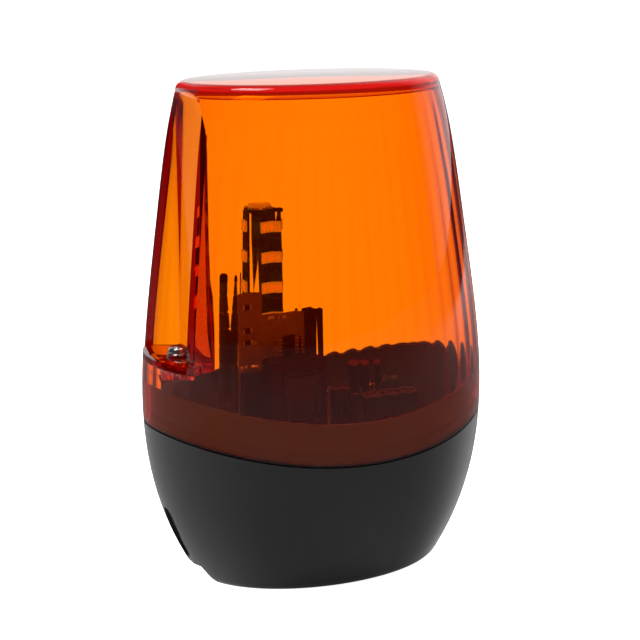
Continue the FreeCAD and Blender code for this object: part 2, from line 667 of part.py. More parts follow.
terminal_body = box("terminal_body", f"{WAYS} * terminal_pitch + terminal_wall", "terminal_depth",
                    "terminal_height", "terminal_x", "terminal_y", BOARD_TOP)
terminal_cuts = []
terminal_screws = []
terminal_cages = []
for way in range(WAYS):
    x = way_x(way)
    number = way + 1
    terminal_cuts.append(box(f"chamber_{number}", CHAMBER_WIDTH, CHAMBER_DEPTH, "chamber_height",
                             x, "terminal_y", CHAMBER_LOW))
    terminal_cuts.append(box(f"wire_mouth_{number}", f"{CHAMBER_WIDTH} - 2 * mouth_edge", "terminal_depth",
                             "mouth_height", x, "terminal_y - terminal_depth / 2",
                             f"{CHAMBER_LOW} + mouth_edge"))
    terminal_cuts.append(cylinder(f"clamp_bore_{number}", "clamp_shank_radius + clamp_fit",
                                  "terminal_height", x, "terminal_y", CHAMBER_LOW))
    terminal_cuts.append(cylinder(f"clamp_seat_{number}", "clamp_head_radius + clamp_head_fit",
                                  "clamp_head_height + terminal_height", x, "terminal_y",
                                  f"{CLAMP_TOP} - clamp_head_height"))
    screw_body = turned(f"clamp_blank_{number}", [
        ("clamp_shank_radius", "clamp_shank_length"),
        ("clamp_head_radius", "clamp_head_height"),
    ], x, "terminal_y", f"{CLAMP_TOP} - clamp_head_height - clamp_shank_length")
    slot = box(f"clamp_slot_{number}", "3 * clamp_head_radius", "clamp_slot", "clamp_head_height",
               x, "terminal_y", f"{CLAMP_TOP} - clamp_head_height / 2")
    terminal_screws.append(cut(f"terminal_screw_{number}", screw_body, slot))
    cage_block = box(f"cage_block_{number}", CAGE_WIDTH, f"{CHAMBER_DEPTH} - 2 * cage_fit",
                     "cage_height", x, "terminal_y", CAGE_LOW)
    cage_room = box(f"cage_room_{number}", f"{CAGE_WIDTH} - 2 * cage_wall", "2 * terminal_depth",
                    "cage_height - 2 * cage_wall", x, "terminal_y", f"{CAGE_LOW} + cage_wall")
    cage_thread = cylinder(f"cage_thread_{number}", "clamp_shank_radius + clamp_fit", "terminal_height",
                           x, "terminal_y", f"{CAGE_LOW} + cage_height / 2")
    terminal_cages.append(cut(f"terminal_cage_{number}", cage_block, cage_room, cage_thread))
terminal_block = cut("terminal_block", terminal_body, *terminal_cuts)

# ---------------------------------------------------------------------------------------------
# Other parts on the main board
# ---------------------------------------------------------------------------------------------

transformer = box("transformer", "transformer_width", "transformer_depth", "transformer_height",
                  f"transformer_from_pocket - {POCKET_END}", "transformer_y", BOARD_TOP)
capacitor = cylinder("capacitor", "capacitor_radius", "capacitor_height",
                     "capacitor_x", "capacitor_y", BOARD_TOP)
rectifier = box("rectifier", "rectifier_width", "rectifier_depth", "rectifier_height",
                "rectifier_x", "rectifier_y", BOARD_TOP)
fuse_link = cylinder("fuse_link", "fuse_radius", "fuse_height", "fuse_x", "fuse_y", BOARD_TOP)
varistor_disc = doc.addObject("Part::Cylinder", "varistor_disc")
varistor_disc.Placement = Placement(Vector(), Rotation(Vector(1, 0, 0), 90))
bind(varistor_disc, {
    "Radius": "varistor_radius", "Height": "varistor_thickness",
    **place("varistor_x", "varistor_y + varistor_thickness / 2",
            f"{BOARD_TOP} + varistor_lift + varistor_radius"),
})
varistor = fuse("varistor", varistor_disc, *[
    cylinder(f"varistor_lead_{name}", "varistor_lead", "varistor_lift + varistor_radius",
             f"varistor_x {side} varistor_radius / 2", "varistor_y", BOARD_TOP)
    for name, side in (("left", "-"), ("right", "+"))
])

AERIAL_X = f"aerial_from_pocket - {POCKET_END}"
aerial_post = turned("aerial_post", [("aerial_radius", "aerial_height")], AERIAL_X, "aerial_y", BOARD_TOP)
aerial_cap = turned("aerial_cap", [("aerial_cap_radius", "aerial_cap_height")],
                    AERIAL_X, "aerial_y", f"{BOARD_TOP} + aerial_height")
aerial_wire = turned("aerial_wire", [("wire_radius", "wire_height")],
                     f"wire_from_pocket - {POCKET_END}", "wire_y", BOARD_TOP)

# ---------------------------------------------------------------------------------------------
# Check and write every piece
# ---------------------------------------------------------------------------------------------

pieces = {
    "base_housing": base_housing, "lens": lens, "lens_seal": lens_seal, "lens_screw": lens_screw,
    "screw_washer": screw_washer, "cable_grommet": cable_grommet, "main_board": main_board,
    "board_screws": board_screws, "led_board_top": led_board_top, "leds_top": leds_top,
    "driver_board": driver_board, "driver_header": driver_header, "board_guide": board_guide,
    "terminal_block": terminal_block, "transformer": transformer, "capacitor": capacitor,
    "rectifier": rectifier, "fuse": fuse_link, "varistor": varistor, "aerial_post": aerial_post,
    "aerial_cap": aerial_cap, "aerial_wire": aerial_wire,
}
for piece in tower_nodes + terminal_screws + terminal_cages:
    pieces[piece.Name] = piece
for node, piece in pieces.items():
    piece.Label = node

doc.recompute()

for item in doc.Objects:
    if "Invalid" in item.State or "Error" in item.State:
        raise RuntimeError(f"{item.Name} failed: {item.State}")
for node, piece in pieces.items():
    shape = piece.Shape
    if shape.isNull() or not shape.isValid() or not shape.Solids:
        raise RuntimeError(f"{node} has no valid solid")
    bounds = shape.BoundBox
    if not 0 < shape.Volume <= 1.001 * bounds.XLength * bounds.YLength * bounds.ZLength:
        raise RuntimeError(f"{node} is inside out or has lost a face")

os.makedirs("parts", exist_ok=True)
for node, piece in pieces.items():
    piece.Shape.exportStep(os.path.join("parts", f"{node}.step"))
    print(f"{node}: {len(piece.Shape.Solids)} solids, {piece.Shape.Volume:.1f} mm3")
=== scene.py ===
# %% [markdown]
# # An amber warning light
#
# The lamp is a dark moulded base, a clear amber lens that slides over the base's collar, and inside it a
# small tower of boards with flat LEDs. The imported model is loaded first. It holds every piece at its real
# size, in metres, with +Z up. Pieces whose plain shape is already right keep it and only get a material.
# The shells and the small parts that catch light are modelled again here, in the same places.

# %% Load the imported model
import json
import math

import bpy
import numpy as np
from mathutils import Matrix, Vector


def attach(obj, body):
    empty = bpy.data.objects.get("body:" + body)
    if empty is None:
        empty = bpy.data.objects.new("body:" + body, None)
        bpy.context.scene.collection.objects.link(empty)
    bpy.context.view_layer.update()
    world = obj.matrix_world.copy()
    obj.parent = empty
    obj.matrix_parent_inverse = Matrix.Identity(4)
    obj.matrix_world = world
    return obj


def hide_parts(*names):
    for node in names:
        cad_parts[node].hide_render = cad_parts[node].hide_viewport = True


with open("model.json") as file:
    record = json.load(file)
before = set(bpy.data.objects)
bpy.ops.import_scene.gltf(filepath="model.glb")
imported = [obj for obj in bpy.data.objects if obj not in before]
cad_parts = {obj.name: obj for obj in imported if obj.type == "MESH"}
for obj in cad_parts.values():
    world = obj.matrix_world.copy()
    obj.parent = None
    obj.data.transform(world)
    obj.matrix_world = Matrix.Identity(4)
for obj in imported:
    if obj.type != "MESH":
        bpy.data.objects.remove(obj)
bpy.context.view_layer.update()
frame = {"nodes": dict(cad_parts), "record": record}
NODES = frame["nodes"]
MM = 0.001
print("pieces loaded:", len(NODES))

# %% [markdown]
# ## Camera
#
# The lamp is seen from a little above and from its left, with a long lens, so that its upright sides stay
# nearly upright. The camera is placed by its distance, height and direction, and tipped down and rolled by
# a small angle. A 97 mm lens on a 36 mm sensor gives the flat perspective of a product picture.

# %% Camera
AZIMUTH = math.radians(-26)
PITCH = math.radians(12.5)
ROLL = math.radians(-0.8)
DISTANCE = 584.2 * MM
CAMERA_HEIGHT = 215.3 * MM
SIDE_STEP = 2.49 * MM

towards_camera = Vector((math.sin(AZIMUTH), -math.cos(AZIMUTH), 0))
level_right = Vector((math.cos(AZIMUTH), math.sin(AZIMUTH), 0))
looking = -towards_camera * math.cos(PITCH) - Vector((0, 0, math.sin(PITCH)))
level_up = level_right.cross(looking)
right = level_right * math.cos(ROLL) + level_up * math.sin(ROLL)
up = level_up * math.cos(ROLL) - level_right * math.sin(ROLL)

bpy.ops.object.select_all(action="DESELECT")
bpy.ops.object.camera_add()
camera = bpy.context.object
camera.data.lens = 96.97
camera.data.sensor_width = 36
camera.data.clip_start = 0.01
turn = Matrix((right, up, -looking)).transposed().to_4x4()
place = towards_camera * DISTANCE + level_right * SIDE_STEP + Vector((0, 0, CAMERA_HEIGHT))
camera.matrix_world = Matrix.Translation(place) @ turn
bpy.context.scene.camera = camera
print("camera at", tuple(round(value, 3) for value in camera.location))

# %% [markdown]
# ## Materials
#
# A colour is written as a hex value, the way a paint or plastics chart gives it, and one function turns it
# into the linear values that the shaders use. A second one adds a node with its settings and links, and
# both are all that the materials below need.

# %% Colour and node helpers
def colour(hex_value):
    """An sRGB hex value as linear red, green, blue and alpha."""
    channels = [int(hex_value[place:place + 2], 16) / 255 for place in (0, 2, 4)]
    linear = [c / 12.92 if c <= 0.04045 else ((c + 0.055) / 1.055) ** 2.4 for c in channels]
    return (*linear, 1)


def node(tree, kind, inputs=None, **settings):
    """Add a shader node. An input is a value, or an output of another node to link."""
    made = tree.nodes.new("ShaderNode" + kind)
    for name, value in settings.items():
        setattr(made, name, value)
    for name, value in (inputs or {}).items():
        if isinstance(value, bpy.types.NodeSocket):
            tree.links.new(value, made.inputs[name])
        else:
            made.inputs[name].default_value = value
    return made


def material(name, **values):
    """A new material with one Principled shader, its plain values set on its own sockets."""
    made = bpy.data.materials.new(name)
    made.use_nodes = True
    shader = made.node_tree.nodes["Principled BSDF"]
    for socket, value in values.items():
        shader.inputs[socket.replace("_", " ")].default_value = value
    return made, made.node_tree, shader


print("pure amber is", [round(value, 3) for value in colour("FF8200")])

# %% [markdown]
# ### Amber polycarbonate
#
# The lens is clear polycarbonate, dyed through and moulded in polished steel. Light loses blue at once and
# green more slowly, so one wall looks yellow-orange, two walls look orange, and an edge, where light runs
# a long way inside the plastic, looks deep red. A tint on the surface can't do that. The surface is left
# colourless with an index of 1.58, and the dye is a volume that absorbs light by the distance it travels.
# Absorption is the colour's missing part times the density, per metre: at 1500 per metre, 3 mm of wall
# lets about half of the green through and almost none of the blue. The volume also glows a weak red, and
# the crown's rounded edge a stronger red: a painted glow, standing in for light that the plastic gathers
# and lets out at its edges. The lowest half millimetre of the surface is painted almost black, a painted
# shadow of the narrow gap at the parting line. Neither is measured.

# %% Amber polycarbonate
amber, tree, shader = material(
    "amber_polycarbonate", Base_Color=(1, 1, 1, 1), Roughness=0.02, IOR=1.58, Transmission_Weight=1,
)
dye = node(tree, "VolumeAbsorption", {"Color": (0.9965, 0.815, 0.01, 1), "Density": 1500.0})
# Painted glow: a weak red emission in the volume, standing in for light that the plastic gathers and lets out at its
# edges.
painted_volume_glow = node(tree, "Emission", {"Color": (1, 0.02, 0.01, 1), "Strength": 2.0})
inside = node(tree, "AddShader", {0: dye.outputs["Volume"], 1: painted_volume_glow.outputs["Emission"]})
tree.links.new(inside.outputs["Shader"], tree.nodes["Material Output"].inputs["Volume"])
# The attribute read here holds the painted glow of the crown's rounded edge; it is switched off at the parting line.
edge = node(tree, "Attribute", attribute_name="painted_crown_glow", attribute_type="GEOMETRY")
level = node(tree, "VectorMath", {0: node(tree, "TexCoord").outputs["Object"], 1: (1, 0, 1)}, operation="MULTIPLY")
from_drum = node(tree, "VectorMath", {0: level.outputs["Vector"], 1: (0, 0, 246.5 * MM)}, operation="DISTANCE")
at_seam = node(tree, "Math", {0: from_drum.outputs["Value"], 1: 199.55 * MM}, operation="GREATER_THAN")
edges = node(tree, "MixRGB", {
    "Fac": at_seam.outputs["Value"], "Color1": edge.outputs["Color"], "Color2": (0, 0, 0, 1),
})
tree.links.new(edges.outputs["Color"], shader.inputs["Emission Color"])
# Painted shadow: the base colour turns near-black in the lowest half millimetre, for the shade of the narrow gap at the
# parting line.
parting = node(tree, "MixRGB", {
    "Fac": at_seam.outputs["Value"], "Color1": (1, 1, 1, 1), "Color2": (0.05, 0.015, 0.01, 1),
})
tree.links.new(parting.outputs["Color"], shader.inputs["Base Color"])
shader.inputs["Emission Strength"].default_value = 1.0
print("made", amber.name)

# %% [markdown]
# ### Black ABS with a fine spark-eroded grain
#
# The base is injection-moulded ABS. Its mould was spark-eroded to a fine satin grain of about 0.15 mm, so
# it shows soft, wide highlights and no mirror image. Grain that fine is below what the picture can show,
# so the noise is drawn at 0.4 mm.

# %% Black ABS
def grained(name, base, roughness, grain_mm, strength, sheen=0.0):
    """A moulded plastic with a fine grain that also varies its gloss a little."""
    made, tree, shader = material(name, Base_Color=colour(base), IOR=1.5, Sheen_Weight=sheen, Sheen_Roughness=0.4)
    where = node(tree, "TexCoord").outputs["Object"]
    grain = node(tree, "TexNoise", {"Vector": where, "Scale": 1 / (grain_mm * MM), "Detail": 3.0})
    patches = node(tree, "TexNoise", {"Vector": where, "Scale": 60.0, "Detail": 2.0})
    gloss = node(tree, "MapRange", {
        "Value": patches.outputs["Fac"], "To Min": roughness - 0.04, "To Max": roughness + 0.04,
    })
    tree.links.new(gloss.outputs["Result"], shader.inputs["Roughness"])
    bump = node(tree, "Bump", {"Height": grain.outputs["Fac"], "Strength": strength, "Distance": 0.02 * MM})
    tree.links.new(bump.outputs["Normal"], shader.inputs["Normal"])
    return made


black_abs = grained("black_abs_spark_grain", "191919", 0.42, 0.4, 0.5, 0.25)
# The collar is the same black plastic, painted a much paler grey: painted light, so it reads brighter through the amber
# skirt.
collar_painted_light_abs = grained("black_abs_collar_painted_light", "5C5650", 0.4, 0.4, 0.2)
# Near-black rim finish: a painted shadow of the narrow gap under the lens's edge.
rim_painted_shadow_abs = grained("black_abs_rim_painted_shadow", "060606", 0.6, 0.4, 0.2)
black_nylon = grained("black_nylon", "17171A", 0.5, 0.6, 0.3)
print("made", black_abs.name, "and", black_nylon.name)

# %% [markdown]
# ## The oval skin
#
# Every level section of the lamp is an oval. Its half width and half depth are known at seven heights, from
# the foot to the crown, and a smooth curve through them gives the size at any height between. The shells
# are made as a person would: a filled circle is scaled to the lowest oval, then extruded upwards ring by
# ring, each ring scaled to its own oval.

# %% Size of the oval at any height
LEVELS = (
    (0, 44.6, 31.7), (20, 54.5, 40.9), (40, 59.7, 45.7), (58, 61.3, 47.2),
    (100, 58.2, 44.3), (135, 53.2, 39.7), (170, 45.6, 32.8),
)
heights, half_widths, half_depths = zip(*LEVELS)
half_width = np.polynomial.Polynomial.fit(heights, half_widths, len(LEVELS) - 1)
half_depth = np.polynomial.Polynomial.fit(heights, half_depths, len(LEVELS) - 1)


def oval(height, inset=0.0):
    """Half width, half depth and height of the skin's oval in metres, from millimetres."""
    return (half_width(height) - inset) * MM, (half_depth(height) - inset) * MM, height * MM


print("widest half width, mm:", round(max(half_width(z) for z in range(0, 171)), 2))


# %% Modelling helpers
def activate(piece):
    """Make a piece the only selected and active object."""
    bpy.ops.object.select_all(action="DESELECT")
    piece.select_set(True)
    bpy.context.view_layer.objects.active = piece


def settle(name):
    """Name the object just added and put its place and size into its mesh."""
    piece = bpy.context.object
    piece.name = piece.data.name = name
    bpy.ops.object.transform_apply(location=True, rotation=True, scale=True)
    return piece


def stack(name, rings, sides=144, polar=False, centre=(0, 0)):
    """A closed solid through level ovals, each given as half width, half depth and height."""
    bpy.ops.object.select_all(action="DESELECT")
    bpy.ops.mesh.primitive_circle_add(vertices=sides, radius=1, fill_type="NGON")
    piece = bpy.context.object
    if polar:
        for vertex in piece.data.vertices:
            x, y, _ = vertex.co
            turn = math.atan2(y * rings[0][0] / rings[0][1], x)
            vertex.co = (math.cos(turn), math.sin(turn), 0)
    piece.scale = (rings[0][0], rings[0][1], 1)
    piece.location = (*centre, rings[0][2])
    settle(name)
    bpy.ops.object.mode_set(mode="EDIT")
    bpy.ops.mesh.select_all(action="SELECT")
    for low, high in zip(rings, rings[1:]):
        bpy.ops.mesh.extrude_region_move(TRANSFORM_OT_translate={"value": (0, 0, high[2] - low[2])})
        bpy.ops.transform.resize(
            value=(high[0] / low[0], high[1] / low[1], 1), center_override=(*centre, high[2]),
        )
    bpy.ops.mesh.select_all(action="SELECT")
    bpy.ops.mesh.normals_make_consistent(inside=False)
    bpy.ops.object.mode_set(mode="OBJECT")
    return piece


def turned(name, x, y, steps, sides=40):
    """An upright turned piece about x and y: steps are radius and height, in millimetres."""
    rings = [(radius * MM, radius * MM, height * MM) for radius, height in steps]
    return stack(name, rings, sides=sides, centre=(x * MM, y * MM))


def block(name, low, high):
    """A cube stretched between two corners, given in millimetres."""
    bpy.ops.object.select_all(action="DESELECT")
    middle = [(a + b) / 2 * MM for a, b in zip(low, high)]
    bpy.ops.mesh.primitive_cube_add(size=1, location=middle)
    bpy.context.object.scale = [(b - a) * MM for a, b in zip(low, high)]
    return settle(name)


def rod(name, radius, length, centre, along="Z", sides=48):
    """A cylinder about an axis, by its centre, in millimetres."""
    bpy.ops.object.select_all(action="DESELECT")
    turn = {"X": (0, math.pi / 2, 0), "Y": (math.pi / 2, 0, 0), "Z": (0, 0, 0)}[along]
    bpy.ops.mesh.primitive_cylinder_add(
        vertices=sides, radius=radius * MM, depth=length * MM, rotation=turn,
        location=[value * MM for value in centre],
    )
    return settle(name)


def join_solid(piece, *tools, how="DIFFERENCE"):
    """Cut, join or intersect a piece with tools, which are used up."""
    for tool in tools:
        activate(piece)
        step = piece.modifiers.new(how.lower(), "BOOLEAN")
        step.operation = how
        step.solver = "EXACT"
        step.object = tool
        bpy.ops.object.modifier_apply(modifier=step.name)
        bpy.data.objects.remove(tool)
    return piece


def soften(piece, width, segments=2, angle=40):
    """Round the sharp edges of a piece a little, as a mould's edges are."""
    activate(piece)
    step = piece.modifiers.new("soft_edges", "BEVEL")
    step.width = width * MM
    step.segments = segments
    step.limit_method = "ANGLE"
    step.angle_limit = math.radians(angle)
    bpy.ops.object.modifier_apply(modifier=step.name)
    return piece


def painted(piece, *finishes):
    """Give a loose body its finish before it is merged."""
    piece.data.materials.clear()
    for made in finishes:
        piece.data.materials.append(made)
    return piece


def merge(name, pieces):
    """Gather separate bodies in one object. Each keeps its own finish."""
    activate(pieces[0])
    for piece in pieces:
        piece.select_set(True)
    bpy.ops.object.join()
    return settle(name)


def copies(piece, places, turn=(0, 0, 0)):
    """Copies of a loose body, turned about the origin and then moved, in millimetres. It is used up."""
    made = []
    for place in places:
        activate(piece)
        bpy.ops.object.duplicate()
        copy = bpy.context.object
        copy.rotation_euler = turn
        copy.location = [value * MM for value in place]
        made.append(settle(piece.name + "_copy"))
    bpy.data.objects.remove(piece)
    return made


def finish(piece, body, finish_material, slot, *nodes, angle=30):
    """Shade a piece, give it its material if it has none, and let it ride in place of its nodes."""
    activate(piece)
    bpy.ops.object.shade_smooth_by_angle(angle=math.radians(angle))
    if finish_material:
        piece.data.materials.clear()
        piece.data.materials.append(finish_material)
    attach(piece, body)
    if nodes:
        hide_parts(*nodes)
    print(piece.name, "has", len(piece.data.polygons), "faces")
    return piece


def drum(name, rise):
    """The saddle's upper side: a wide cylinder across the lamp, raised above the parting line."""
    return rod(name, 200 - rise, 240, (0, 0, 46.5 + 200), along="Y", sides=720)


def levels(low, high, step, inset):
    """Evenly spaced ovals between two heights."""
    count = round((high - low) / step)
    return [oval(low + (high - low) * number / count, inset) for number in range(count + 1)]


# %% [markdown]
# ## Lens
#
# The lens is one moulding: a tapered oval shell, 3.2 mm thick, with a flat top and a rounded edge. Its
# inside is fluted with 44 shallow upright ribs that spread the light. One end has a pocket for the
# screwdriver, with splayed walls and a flat floor, and a boss under that floor for the screw. Below a
# ledge the wall steps back to a thinner skirt that slides over the base's collar.

# %% Screw pocket tool
POCKET_END, POCKET_HALF, POCKET_SPLAY, POCKET_FLOOR = 44.6, 13.4, math.radians(29), 79.5
SCREW_X = -50.5


def pocket(name, wall, floor, corner):
    """The block that fills the screw pocket, grown by the thickness of its walls."""
    near = POCKET_HALF + wall / math.cos(POCKET_SPLAY) - wall * math.tan(POCKET_SPLAY)
    run = 46.0
    piece = block(name, (-POCKET_END + wall - run, -near, POCKET_FLOOR - floor), (-POCKET_END + wall, near, 230))
    far = near + run * math.tan(POCKET_SPLAY)
    bpy.ops.object.mode_set(mode="OBJECT")
    for vertex in piece.data.vertices:
        vertex.select = vertex.co.x < (-POCKET_END + wall - run / 2) * MM
    for edge in piece.data.edges:
        edge.select = all(piece.data.vertices[index].select for index in edge.vertices)
    for face in piece.data.polygons:
        face.select = all(piece.data.vertices[index].select for index in face.vertices)
    bpy.ops.object.mode_set(mode="EDIT")
    bpy.ops.transform.resize(value=(1, far / near, 1), center_override=(0, 0, 0))
    bpy.ops.mesh.select_all(action="DESELECT")
    bpy.ops.object.mode_set(mode="OBJECT")
    for edge in piece.data.edges:
        ends = [piece.data.vertices[index].co for index in edge.vertices]
        edge.select = all(end.x > (-POCKET_END + wall) * MM - 1e-6 for end in ends) and min(
            end.z for end in ends) < 200 * MM
    bpy.ops.object.mode_set(mode="EDIT")
    bpy.ops.mesh.select_mode(type="EDGE")
    bpy.ops.mesh.bevel(offset=corner * MM, segments=5, profile=0.5)
    bpy.ops.mesh.select_mode(type="VERT")
    bpy.ops.object.mode_set(mode="OBJECT")
    return piece


# %% Outer form of the lens
CROWN_ROUND = 3.2
crown_start = 170 - CROWN_ROUND
rings = levels(34, crown_start, 6, 0)
for step in range(1, 8):
    angle = math.radians(step * 90 / 7)
    rings.append((
        (half_width(crown_start) - CROWN_ROUND * (1 - math.cos(angle))) * MM,
        (half_depth(crown_start) - CROWN_ROUND * (1 - math.cos(angle))) * MM,
        (crown_start + CROWN_ROUND * math.sin(angle)) * MM,
    ))
lens = stack("amber_lens", rings, sides=192)
join_solid(lens, drum("above_seam", 0), how="INTERSECT")
print("lens blank has", len(lens.data.polygons), "faces")

# %% Fluted room inside the lens
FLUTES = 44
COLUMNS = 6
FLUTE_TOP = 158
roof = [oval(165.2, 3.2), oval(166.5, 3.7), oval(167.2, 4.9)]
room = stack("lens_room", levels(30, 164, 9, 3.2) + roof, sides=FLUTES * COLUMNS, polar=True)
for column in range(1, COLUMNS):
    lift = math.sin(math.pi * column / COLUMNS) * 0.2 / 50
    for vertex in room.data.vertices:
        around = math.atan2(vertex.co.y, vertex.co.x) / (2 * math.pi) * FLUTES * COLUMNS
        vertex.select = round(around) % COLUMNS == column and vertex.co.z < FLUTE_TOP * MM
    bpy.ops.object.mode_set(mode="EDIT")
    bpy.ops.transform.resize(value=(1 + lift, 1 + lift, 1), center_override=(0, 0, 0))
    bpy.ops.mesh.select_all(action="DESELECT")
    bpy.ops.object.mode_set(mode="OBJECT")
boss = rod("lens_boss", 4.5, 7.5, (SCREW_X, 0, 75.75), sides=64)
join_solid(room, pocket("pocket_walls", 1.8, 3.0, 1.4), boss)
print("fluted room has", len(room.data.polygons), "faces")

# %% Cut the lens
skirt = stack("skirt_room", levels(30, 80, 10, 2.4), sides=192)
join_solid(skirt, drum("ledge", 14.3))
join_solid(lens, room, skirt, pocket("screw_pocket", 0, 0, 1.0), rod("screw_way", 2.3, 16, (SCREW_X, 0, 76)))
soften(lens, 0.5, 2, 50)
finish(lens, "lens_cover", amber, "amber_lens", "lens")

# %% Painted glow on the lens's crown edge
# The rounded crown edge gets a red emission colour: a painted glow, standing in for light the plastic lets out there.
PAINTED_ROOF_GLOW = (0.4, 0.01, 0.008)
glow = lens.data.attributes.new("painted_crown_glow", "FLOAT_COLOR", "POINT")
for vertex, value in zip(lens.data.vertices, glow.data):
    x, y, z = (coordinate / MM for coordinate in vertex.co)
    outside = (x / half_width(z)) ** 2 + (y / half_depth(z)) ** 2 > 0.92
    shade = PAINTED_ROOF_GLOW if outside and 167.6 < z < 169.6 else (0, 0, 0)
    value.color = (*shade, 1)
print("edge light set")

# %% [markdown]
# ## Base
#
# The base is a deep bowl with a collar on top. The bowl carries the lamp's outline, and its rim follows
# the lens's edge half a millimetre lower, so a thin dark line shows between them: the rim's top faces and
# the lens's lowest edge are painted near-black, a painted shadow of that narrow gap. The collar stands
# inside the lens and ends just below the lens's ledge. It is the same black plastic, painted a much paler
# grey: painted light, so that it reads brighter through the amber skirt. A tall oval slot for the cable
# and a low notch in the rim are cut into one end.

# %% Base shell
bowl = stack("black_base", [oval(0, 1.4), oval(0.35, 0.5), oval(1.2, 0.1)] + levels(2.5, 70, 4.5, 0), sides=192)
join_solid(bowl, drum("over_bowl", -0.5))
collar = stack("collar", levels(20, 80, 6, 2.7), sides=192)
join_solid(collar, drum("over_collar", 14))
join_solid(bowl, collar, how="UNION")
join_solid(
    bowl,
    stack("bowl_room", levels(7, 42, 5, 3), sides=192),
    stack("collar_room", levels(7, 90, 8, 5.2), sides=192),
    stack("foot_room", [oval(0, 3)[:2] + (-0.004,)] + levels(0, 4, 4, 3), sides=192),
)
print("base shell has", len(bowl.data.polygons), "faces")

# %% Posts, screw pillar, fixing pads and seal groove
BOARD_SCREWS = [(x, y) for x in (-36.0, 36.0) for y in (-16.99, 16.99)]
FIXINGS = (-31.0, 31.0)
pillar = join_solid(
    rod("pillar", 4.2, 37.7, (SCREW_X, 0, 52.85), sides=64),
    block("pillar_web", (-62, -2.5, 34), (SCREW_X, 2.5, 68.7)),
    how="UNION",
)
join_solid(pillar, stack("detail_limit", levels(30, 78, 6, 3.5), sides=192), how="INTERSECT")
posts = [rod("board_post", 3.4, 46.5, (x, y, 28.75)) for x, y in BOARD_SCREWS]
pads = [rod("fixing_pad", 6, 7, (x, 0, 3.5), sides=64) for x in FIXINGS]
join_solid(bowl, pillar, *posts, *pads, how="UNION")
groove = stack("seal_groove", levels(40, 64, 4, -1), sides=192)
join_solid(groove, stack("groove_floor", levels(36, 68, 4, 3.9), sides=192), drum("groove_top", 5))
join_solid(groove, drum("groove_bottom", 3), how="INTERSECT")
join_solid(
    bowl, groove,
    *[rod("fixing_hole", 2.5, 30, (x, 0, 4), sides=64) for x in FIXINGS],
    *[rod("board_pilot", 1.35, 18, (x, y, 52.6), sides=32) for x, y in BOARD_SCREWS],
    rod("lens_pilot", 2.0, 22, (SCREW_X, 0, 67.5)),
)
print("base with its details has", len(bowl.data.polygons), "faces")

# %% Cable slot and rim notch
slot_bar = block("slot_bar", (-90, -3.6, 11.3), (-40, 3.6, 23.1))
join_solid(
    slot_bar,
    rod("slot_top", 3.6, 50, (-65, 0, 23.1), along="X"),
    rod("slot_bottom", 3.6, 50, (-65, 0, 11.3), along="X"),
    how="UNION",
)
notch = block("rim_notch", (-75, -12, -6), (-37, 12, 6))
notch_top = [vertex for vertex in notch.data.vertices if vertex.co.z > 0]
for vertex in notch_top:
    vertex.co.y *= 7 / 12
join_solid(bowl, slot_bar, notch)
finish(bowl, "base", black_abs, "base_plastic", "base_housing")
bowl.data.materials.append(collar_painted_light_abs)
bowl.data.materials.append(rim_painted_shadow_abs)
# Upward faces at the parting line take the near-black rim finish, a painted shadow; the collar's faces take the paler
# grey, painted light.
for face in bowl.data.polygons:
    x, y, z = (coordinate / MM for coordinate in face.center)
    above_parting = z - 46.5 - 200 + math.sqrt(200 ** 2 - x ** 2)
    if abs(above_parting) < 0.9 and face.normal.z > 0.7:
        face.material_index = 2
    elif z > 42 and math.hypot(x / 61.3, y / 47.2) < 0.962:
        face.material_index = 1
print("the rim has", sum(face.material_index == 2 for face in bowl.data.polygons), "faces")

# %% [markdown]
# ## Finishes of the parts inside
#
# Metals keep the default index and vary only in gloss. Boards are laminate under a coat of solder mask,
# and the copper tracks below it show as a slightly raised, paler net. LED bodies are white with an amber
# window, and both have a weak emission: a painted glow that stands in for light falling in on them.

# %% Metal, board and LED finishes
def metal(name, base, roughness, grain_mm):
    """A metal whose gloss varies in small patches, as drawn or plated stock does."""
    made, tree, shader = material(name, Base_Color=colour(base), Metallic=1.0)
    where = node(tree, "TexCoord").outputs["Object"]
    patches = node(tree, "TexNoise", {"Vector": where, "Scale": 1 / (grain_mm * MM), "Detail": 2.0})
    gloss = node(tree, "MapRange", {
        "Value": patches.outputs["Fac"], "To Min": roughness - 0.08, "To Max": roughness + 0.08,
    })
    tree.links.new(gloss.outputs["Result"], shader.inputs["Roughness"])
    return made


def masked_board(name, mask, track):
    """Solder mask over a net of copper tracks about 0.5 mm wide."""
    made, tree, shader = material(name, Roughness=0.3, IOR=1.5)
    where = node(tree, "TexCoord").outputs["Object"]
    net = node(tree, "TexVoronoi", {"Vector": where, "Scale": 1 / (4 * MM)}, feature="DISTANCE_TO_EDGE")
    line = node(tree, "MapRange", {
        "Value": net.outputs["Distance"], "From Min": 0.05, "From Max": 0.08, "To Min": 1.0, "To Max": 0.0,
    })
    tint = node(tree, "MixRGB", {"Fac": line.outputs["Result"], "Color1": colour(mask), "Color2": colour(track)})
    tree.links.new(tint.outputs["Color"], shader.inputs["Base Color"])
    bump = node(tree, "Bump", {"Height": line.outputs["Result"], "Strength": 0.6, "Distance": 0.035 * MM})
    tree.links.new(bump.outputs["Normal"], shader.inputs["Normal"])
    return made


def glowing(made, tint, strength):
    """Paint a weak glow into a finish, as an emission colour of its own."""
    shader = made.node_tree.nodes["Principled BSDF"]
    shader.inputs["Emission Color"].default_value = (*tint, 1)
    shader.inputs["Emission Strength"].default_value = strength
    return made


